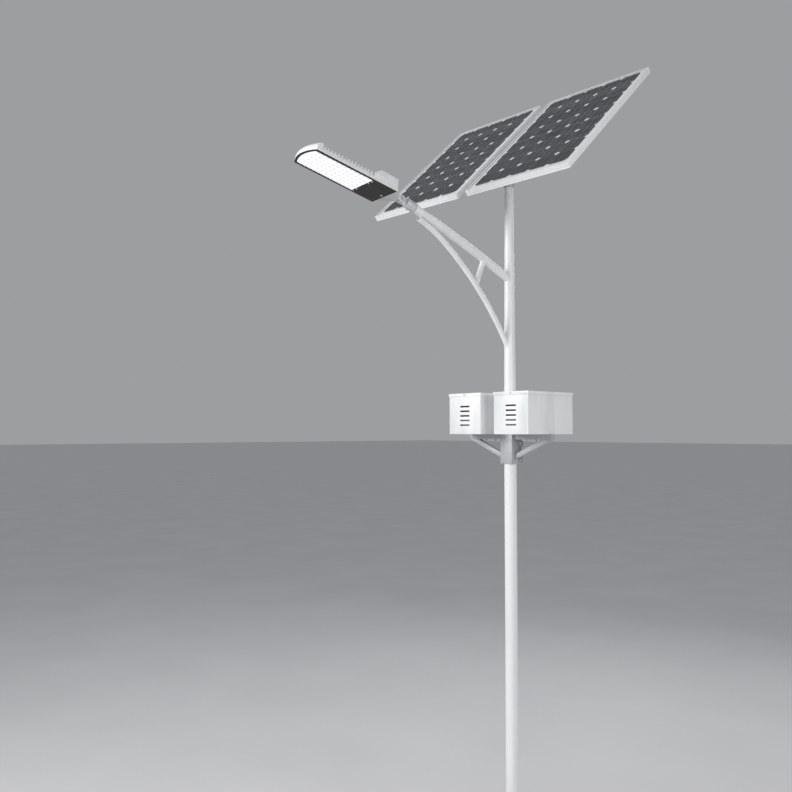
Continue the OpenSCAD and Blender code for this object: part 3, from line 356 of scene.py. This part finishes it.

# %% [markdown]
# ## Screws round the window
#
# The black bezel clamps the window against a seal, with a row of socket screws along each side. One
# screw is modelled: a short cylinder whose outer face is inset once and pushed in, and whose edges are
# bevelled, so that it has a rounded rim and a recess for the key. Copies of it follow the bezel.

# %% Model the bezel's screws
SCREW_RADIUS, SCREW_HEIGHT = 0.0036, 0.0022
SCREWS_PER_SIDE = 6
FIRST_SCREW_IN, LAST_SCREW_IN = 0.06, 0.03
RIM_SHARE, RECESS_SHARE, ROUNDING_SHARE = 0.45, 0.6, 0.14
SCREW_CORNER = math.radians(40)


def socket_screw(radius, height):
    """Screw head that looks along -Z, its seat at zero."""
    bpy.ops.mesh.primitive_cylinder_add(vertices=24, radius=radius, depth=height,
                                        location=(0, 0, -height / 2))
    screw = bpy.context.object
    bpy.ops.object.transform_apply(location=True, rotation=True, scale=True)
    bpy.ops.object.mode_set(mode="EDIT")
    bpy.ops.mesh.select_mode(type="FACE")
    bpy.ops.mesh.select_all(action="DESELECT")
    bpy.ops.object.mode_set(mode="OBJECT")
    for face in screw.data.polygons:
        face.select = face.normal.z < -0.9
    bpy.ops.object.mode_set(mode="EDIT")
    bpy.ops.mesh.inset(thickness=radius * RIM_SHARE)
    recess = (0, 0, height * RECESS_SHARE)
    bpy.ops.mesh.extrude_region_move(TRANSFORM_OT_translate={"value": recess})
    bpy.ops.object.mode_set(mode="OBJECT")
    modify(screw, "BEVEL", width=radius * ROUNDING_SHARE, segments=2, limit_method="ANGLE",
           angle_limit=SCREW_CORNER)
    bpy.ops.object.shade_smooth_by_angle(angle=SCREW_CORNER)
    return screw


bezel_low, bezel_high = box_in("lum_bezel", LUM)
screw_x = (bezel_high.x + window_high.x) / 2
first_y, last_y = window_low.y + FIRST_SCREW_IN, window_high.y - LAST_SCREW_IN
screw_ys = [first_y + (last_y - first_y) * k / (SCREWS_PER_SIDE - 1)
            for k in range(SCREWS_PER_SIDE)]
places = [Vector((side * screw_x, y, bezel_low.z)) for side in (-1, 1) for y in screw_ys]
screw = socket_screw(SCREW_RADIUS, SCREW_HEIGHT)
alone(screw)
screw.location = places[0]
bpy.ops.object.transform_apply(location=True, rotation=True, scale=True)
bezel_screws = copies(screw, "screw", [place - places[0] for place in places[1:]])
bezel_screws.matrix_world = LUM
hand_over(bezel_screws, "bezel_screws", "luminaire", "zinc_plate")
print("bezel screws:", len(places))

# %% [markdown]
# ## Ribbons over the solar cells
#
# Tinned copper ribbons join the cells of each column into a string and carry the current. Seen close
# up they are the brightest lines on a dark cell. Each is a thin strip that lies on the cells under the
# glass, and cross ribbons join neighbouring columns in the margins above and below.

# %% Lay the ribbons of both panels
CELL_COLUMNS = 5
CELL_GAP = 0.002
RIBBONS_PER_CELL = 3
RIBBON_W, RIBBON_T = 0.0018, 0.0002
CROSS_W, CROSS_INSET = 0.005, 0.02
RIBBON_REACH = 0.009


def strip(x0, x1, y0, y1, z):
    """Thin strip in the panels' frame."""
    bpy.ops.mesh.primitive_cube_add(size=1.0)
    piece = bpy.context.object
    piece.scale = (x1 - x0, y1 - y0, RIBBON_T)
    piece.location = ((x0 + x1) / 2, (y0 + y1) / 2, z + RIBBON_T / 2)
    bpy.ops.object.transform_apply(location=True, rotation=True, scale=True)
    return piece


def panel_ribbons(side):
    """Ribbons of one panel: three along each column, and one across each pair of columns."""
    low, high = box_in(side + "_cells", RACK)
    pitch = (high.x - low.x + CELL_GAP) / CELL_COLUMNS
    strips = []
    for column in range(CELL_COLUMNS):
        for k in range(RIBBONS_PER_CELL):
            x = low.x + pitch * column + (pitch - CELL_GAP) * (k + 0.5) / RIBBONS_PER_CELL
            strips.append(strip(x - RIBBON_W / 2, x + RIBBON_W / 2, low.y - RIBBON_REACH,
                                high.y + RIBBON_REACH, high.z))
    for column in range(CELL_COLUMNS):
        top = column % 2
        y = high.y + RIBBON_REACH if top else low.y - RIBBON_REACH
        x0 = low.x + pitch * column + CROSS_INSET
        x1 = min(x0 + 2 * pitch - 2 * CROSS_INSET, high.x - CROSS_INSET)
        strips.append(strip(x0, x1, y - CROSS_W / 2, y + CROSS_W / 2, high.z))
    ribbons = join(strips)
    ribbons.matrix_world = RACK
    return hand_over(ribbons, side + "_ribbons", "rack", "zinc_plate")


ribbons = [panel_ribbons(side) for side in ("left", "right")]
print("ribbon faces:", [len(r.data.polygons) for r in ribbons])

# %% [markdown]
# ## Finishes
#
# Every finish is a small node tree that reads the piece's own coordinates, so a pattern stays put when
# a joint moves. A first helper makes a plain surface, and a few more add what real surfaces have:
# cloudy variation of colour, uneven gloss and a fine relief.

# %% Helpers for finishes
def finish(name, colour, roughness, metallic=0.0, specular=0.5):
    """New material with one surface shader and the piece's own coordinates."""
    material = bpy.data.materials.new(name)
    material.use_nodes = True
    tree = material.node_tree
    surface = tree.nodes["Principled BSDF"]
    surface.inputs["Base Color"].default_value = (*colour, 1.0)
    surface.inputs["Roughness"].default_value = roughness
    surface.inputs["Metallic"].default_value = metallic
    surface.inputs["Specular IOR Level"].default_value = specular
    coordinates = tree.nodes.new("ShaderNodeTexCoord")
    return material, tree, surface, coordinates.outputs["Object"]


def noise(tree, place, scale, detail=3.0, stretch=(1.0, 1.0, 1.0), turn=(0.0, 0.0, 0.0)):
    """Cloudy pattern, stretched and turned if need be."""
    mapping = tree.nodes.new("ShaderNodeMapping")
    mapping.inputs["Scale"].default_value = stretch
    mapping.inputs["Rotation"].default_value = turn
    tree.links.new(place, mapping.inputs["Vector"])
    texture = tree.nodes.new("ShaderNodeTexNoise")
    texture.inputs["Scale"].default_value = scale
    texture.inputs["Detail"].default_value = detail
    tree.links.new(mapping.outputs["Vector"], texture.inputs["Vector"])
    return texture.outputs["Fac"]


def spread(tree, value, low, high, start=0.3, end=0.7):
    """Turns a pattern into values between two limits."""
    node = tree.nodes.new("ShaderNodeMapRange")
    node.inputs["From Min"].default_value = start
    node.inputs["From Max"].default_value = end
    node.inputs["To Min"].default_value = low
    node.inputs["To Max"].default_value = high
    tree.links.new(value, node.inputs["Value"])
    return node.outputs["Result"]


def two_tone(tree, surface, pattern, dark, light, socket="Base Color"):
    """Lets a colour wander between two tones."""
    mix = tree.nodes.new("ShaderNodeMix")
    mix.data_type = "RGBA"
    mix.inputs["A"].default_value = (*dark, 1.0)
    mix.inputs["B"].default_value = (*light, 1.0)
    tree.links.new(pattern, mix.inputs["Factor"])
    tree.links.new(mix.outputs["Result"], surface.inputs[socket])


def relief(tree, surface, pattern, depth):
    """Fine relief of a depth in metres."""
    bump = tree.nodes.new("ShaderNodeBump")
    bump.inputs["Distance"].default_value = depth
    bump.inputs["Strength"].default_value = 1.0
    tree.links.new(pattern, bump.inputs["Height"])
    tree.links.new(bump.outputs["Normal"], surface.inputs["Normal"])


def clouded(tree, surface, place, scale, detail, dark, light, socket="Base Color"):
    """Two tones in soft clouds."""
    clouds = spread(tree, noise(tree, place, scale, detail), 0.0, 1.0)
    two_tone(tree, surface, clouds, dark, light, socket)


def uneven_gloss(tree, surface, place, scale, low, high):
    """Roughness that wanders between two limits."""
    gloss = spread(tree, noise(tree, place, scale), low, high)
    tree.links.new(gloss, surface.inputs["Roughness"])


def grain(tree, surface, place, scale, detail, depth):
    """Relief made of fine noise."""
    relief(tree, surface, noise(tree, place, scale, detail), depth)


def dress(material, names):
    """Puts a material on CAD parts or on the finished pieces that stand for them."""
    for name in names:
        for piece in (nodes.get(name), finished.get(name), bpy.data.objects.get(name)):
            if piece is not None:
                piece.data.materials.clear()
                piece.data.materials.append(material)


print("helpers ready")

# %% [markdown]
# White powder coat covers the pole, the arm and the boxes. It is baked on, a few tenths of a millimetre
# thick, and cures with a faint orange-peel relief. Rain leaves very faint upright streaks.

# %% White powder coat
PAINT_LIGHT, PAINT_DARK = (0.86, 0.865, 0.87), (0.77, 0.775, 0.78)

white_paint, tree, surface, place = finish("white_paint", PAINT_LIGHT, 0.36)
streaks = noise(tree, place, 9.0, 5.0, stretch=(1.0, 1.0, 0.12))
two_tone(tree, surface, spread(tree, streaks, 0.0, 1.0, 0.34, 0.5), PAINT_DARK, PAINT_LIGHT)
uneven_gloss(tree, surface, place, scale=14.0, low=0.30, high=0.44)
grain(tree, surface, place, scale=420.0, detail=1.0, depth=0.00012)
dress(white_paint, [
    "pole_foot", "pole_lower", "pole_middle", "pole_upper", "pole_door", "base_plate", "base_ribs",
    "arm_tube", "arm_stay", "arm_strut", "near_shell", "far_shell", "near_lid", "far_lid",
    "arm_weld", "stay_weld", "strut_weld", "foot_weld",
])

white_casting, tree, surface, place = finish("white_casting", PAINT_LIGHT, 0.42)
clouded(tree, surface, place, scale=16.0, detail=4.0, dark=(0.78, 0.785, 0.79), light=PAINT_LIGHT)
uneven_gloss(tree, surface, place, scale=30.0, low=0.36, high=0.5)
grain(tree, surface, place, scale=900.0, detail=2.0, depth=0.00015)
dress(white_casting, ["lum_housing", "lum_fins", "lum_nose", "lum_hump"])
print("white finishes ready")

# %% [markdown]
# The bracket, the panel head and the rack's beam and rails are dipped in molten zinc. It freezes in
# flat crystals, the spangle, which a Voronoi pattern gives: each crystal has its own shade and its own
# gloss. Screws, hinges and locks have a thinner zinc plate with much smaller crystals.

# %% Galvanised steel
def spangled(name, dark, light, crystal):
    """Zinc with crystals of a size in metres."""
    material, tree, surface, place = finish(name, light, 0.5, metallic=0.35)
    crystals = tree.nodes.new("ShaderNodeTexVoronoi")
    crystals.inputs["Scale"].default_value = 1.0 / crystal
    tree.links.new(place, crystals.inputs["Vector"])
    shade = tree.nodes.new("ShaderNodeSeparateColor")
    tree.links.new(crystals.outputs["Color"], shade.inputs["Color"])
    two_tone(tree, surface, shade.outputs["Red"], dark, light)
    gloss = spread(tree, shade.outputs["Green"], 0.48, 0.60, 0.0, 1.0)
    tree.links.new(gloss, surface.inputs["Roughness"])
    grain(tree, surface, place, scale=180.0, detail=3.0, depth=0.00025)
    return material


galvanised = spangled("galvanised_steel", (0.43, 0.44, 0.45), (0.49, 0.50, 0.51), 0.010)
dress(galvanised, [
    "bracket_channel", "bracket_clamp", "bracket_arms", "bracket_braces", "head_mount",
    "rack_beam", "rack_rails",
])
zinc = spangled("zinc_plate", (0.56, 0.57, 0.58), (0.66, 0.67, 0.68), 0.003)
dress(zinc, [
    "door_hinge", "bracket_bolts", "socket_bolts", "lid_hinges", "box_bolts", "near_lock",
    "far_lock", "door_lock", "head_screws", "rack_fixings", "gear_pin", "gear_latch",
])

cast_grey, tree, surface, place = finish("cast_aluminium", (0.6, 0.61, 0.62), 0.5, metallic=0.3)
clouded(tree, surface, place, scale=40.0, detail=5.0, dark=(0.56, 0.57, 0.58),
        light=(0.64, 0.65, 0.66))
grain(tree, surface, place, scale=700.0, detail=3.0, depth=0.0003)
dress(cast_grey, ["spigot_socket", "lum_adaptor"])
print("metal finishes ready")

# %% [markdown]
# A solar cell is a slice of a silicon crystal, nearly black with a blue cast. Fine printed fingers cross
# it every two millimetres. They read the panel's own directions, so the pattern is turned by the
# slope. The frames are drawn aluminium, with faint lines along their length.

# %% Solar cells, back sheet, glass and ribbons
FINGER_PITCH = 0.0021
FINGER_CORE, FINGER_EDGE = 0.00006, 0.00012
GLASS_OPACITY = 0.05

cell, tree, surface, place = finish("cell", (0.02, 0.023, 0.03), 0.28)
lay_flat = tree.nodes.new("ShaderNodeMapping")
lay_flat.inputs["Rotation"].default_value = (-PANEL_SLOPE, 0.0, 0.0)
lay_flat.inputs["Location"].default_value = -(Matrix.Rotation(-PANEL_SLOPE, 3, "X") @ tilt_axis)
tree.links.new(place, lay_flat.inputs["Vector"])
split = tree.nodes.new("ShaderNodeSeparateXYZ")
tree.links.new(lay_flat.outputs["Vector"], split.inputs["Vector"])
finger = tree.nodes.new("ShaderNodeMath")
finger.operation = "PINGPONG"
finger.inputs[1].default_value = FINGER_PITCH / 2
tree.links.new(split.outputs["Y"], finger.inputs[0])
line = spread(tree, finger.outputs["Value"], 0.5, 0.0, FINGER_CORE, FINGER_EDGE)
two_tone(tree, surface, line, (0.016, 0.018, 0.024), (0.34, 0.35, 0.37))
surface.inputs["Specular IOR Level"].default_value = 0.2
dress(cell, ["left_cells", "right_cells"])

backsheet, tree, surface, place = finish("backsheet", (0.84, 0.845, 0.85), 0.4)
clouded(tree, surface, place, scale=5.0, detail=3.0, dark=(0.81, 0.815, 0.82),
        light=(0.86, 0.865, 0.87))
grain(tree, surface, place, scale=500.0, detail=1.0, depth=0.00008)
dress(backsheet, ["left_backsheet", "right_backsheet"])

panel_glass, tree, surface, place = finish("panel_glass", (0.5, 0.52, 0.53), 0.05)
surface.inputs["Alpha"].default_value = GLASS_OPACITY
surface.inputs["Specular IOR Level"].default_value = 0.2
smears = spread(tree, noise(tree, place, 7.0, 4.0), 0.03, 0.09)
tree.links.new(smears, surface.inputs["Roughness"])
dress(panel_glass, ["left_glass", "right_glass"])

tinned, tree, surface, place = finish("tinned_ribbon", (0.6, 0.61, 0.62), 0.35, metallic=0.8)
grain(tree, surface, place, scale=300.0, detail=2.0, depth=0.0001)
dress(tinned, ["left_ribbons", "right_ribbons"])

frame_metal, tree, surface, place = finish("frame_aluminium", (0.84, 0.845, 0.85), 0.4,
                                           metallic=0.1)
draw_lines = noise(tree, place, 60.0, 2.0, stretch=(1.0, 14.0, 14.0),
                   turn=(-PANEL_SLOPE, 0.0, 0.0))
two_tone(tree, surface, spread(tree, draw_lines, 0.0, 1.0), (0.82, 0.825, 0.83),
         (0.88, 0.885, 0.89))
relief(tree, surface, draw_lines, 0.00005)
dress(frame_metal, ["left_frame", "right_frame"])
print("panel finishes ready")

# %% [markdown]
# The black parts are moulded or painted with a fine grain. The window glows: its plate and its domes
# send out light, the domes a little less, so the grid of LEDs just shows.

# %% Black parts, the window and what is inside
def shaded(colour, share):
    """Darker tone of a colour."""
    return [channel * share for channel in colour]


black_cover, tree, surface, place = finish("black_cover", (0.012, 0.010, 0.009), 0.46)
uneven_gloss(tree, surface, place, scale=25.0, low=0.40, high=0.55)
grain(tree, surface, place, scale=1100.0, detail=1.0, depth=0.00012)
dress(black_cover, ["lum_bezel", "gear_door", "bezel_screws"])

black_plastic, tree, surface, place = finish("black_plastic", (0.02, 0.02, 0.021), 0.5)
grain(tree, surface, place, scale=800.0, detail=1.0, depth=0.00015)
dress(black_plastic, ["junction_boxes", "box_glands", "pole_electrics"])


def glowing(name, colour, strength):
    """Clear material that sends out light."""
    material, tree, surface, place = finish(name, (0.5, 0.51, 0.52), 0.25)
    surface.inputs["Emission Strength"].default_value = strength
    clouded(tree, surface, place, 60.0, 2.0, shaded(colour, 0.94), colour, "Emission Color")
    return material


dress(glowing("lens_plate", (0.98, 0.99, 1.0), 0.78), ["lum_lens"])
dress(glowing("lens_domes", (0.97, 0.98, 1.0), 0.52), ["lens_domes"])
dress(glowing("led_chip", (1.0, 0.95, 0.8), 1.0), ["led_chips"])

BATTERY_CASE = ((0.04, 0.04, 0.045), 0.5, 0.0)
INSIDE = {
    "led_board": ((0.8, 0.8, 0.78), 0.4, 0.0),
    "lum_driver": ((0.55, 0.56, 0.57), 0.4, 0.8),
    "near_battery": BATTERY_CASE,
    "far_battery": BATTERY_CASE,
    "controller": ((0.06, 0.13, 0.26), 0.4, 0.1),
    "box_liners": ((0.16, 0.16, 0.17), 0.8, 0.0),
}
for name, (colour, roughness, metallic) in INSIDE.items():
    material, tree, surface, place = finish(name, colour, roughness, metallic)
    clouded(tree, surface, place, 30.0, 3.0, shaded(colour, 0.85), colour)
    grain(tree, surface, place, scale=400.0, detail=2.0, depth=0.0002)
    dress(material, [name])
print("materials:", len(bpy.data.materials))

# %% [markdown]
# ## The studio
#
# A pale floor and a pale surround, with one large soft light from the front left, where the louvred
# faces look, and two weaker ones from the right and from behind to keep the shaded sides open.

# %% Floor and light
FLOOR_SIZE, FLOOR_BELOW = 500.0, 0.0005
SURROUND, SURROUND_STRENGTH = (0.60, 0.61, 0.63, 1.0), 0.56
LIGHT_SIZE = 5.0
LIGHTS = {
    "key": {"place": (-4.0, -9.0, 7.5), "aim": (0.0, 0.0, 4.8), "power": 780.0},
    "fill": {"place": (9.0, -2.0, 5.5), "aim": (0.0, 0.0, 4.5), "power": 300.0},
    "back": {"place": (-3.0, 8.0, 9.0), "aim": (0.0, 0.0, 4.8), "power": 250.0},
}

bpy.ops.mesh.primitive_plane_add(size=FLOOR_SIZE, location=(0.0, 0.0, -FLOOR_BELOW))
floor = bpy.context.object
floor.name = "floor"
floor_paint, tree, surface, place = finish("floor", (0.72, 0.72, 0.73), 0.8, specular=0.1)
clouded(tree, surface, place, scale=0.6, detail=4.0, dark=(0.70, 0.70, 0.71),
        light=(0.74, 0.74, 0.75))
floor.data.materials.append(floor_paint)

world = bpy.data.worlds.new("studio")
world.use_nodes = True
background = world.node_tree.nodes["Background"]
background.inputs["Color"].default_value = SURROUND
background.inputs["Strength"].default_value = SURROUND_STRENGTH
bpy.context.scene.world = world


def soft_light(name, place, aim, power):
    """Large square light that looks at a point and isn't seen by the camera."""
    data = bpy.data.lights.new(name, "AREA")
    data.shape = "SQUARE"
    data.size = LIGHT_SIZE
    data.energy = power
    lamp = bpy.data.objects.new(name, data)
    lamp.location = place
    lamp.rotation_euler = (Vector(aim) - Vector(place)).to_track_quat("-Z", "Y").to_euler()
    lamp.visible_camera = False
    bpy.context.scene.collection.objects.link(lamp)


for name, light in LIGHTS.items():
    soft_light(name, light["place"], light["aim"], light["power"])
bpy.context.scene.view_settings.view_transform = "Standard"
print("lights:", ", ".join(LIGHTS))
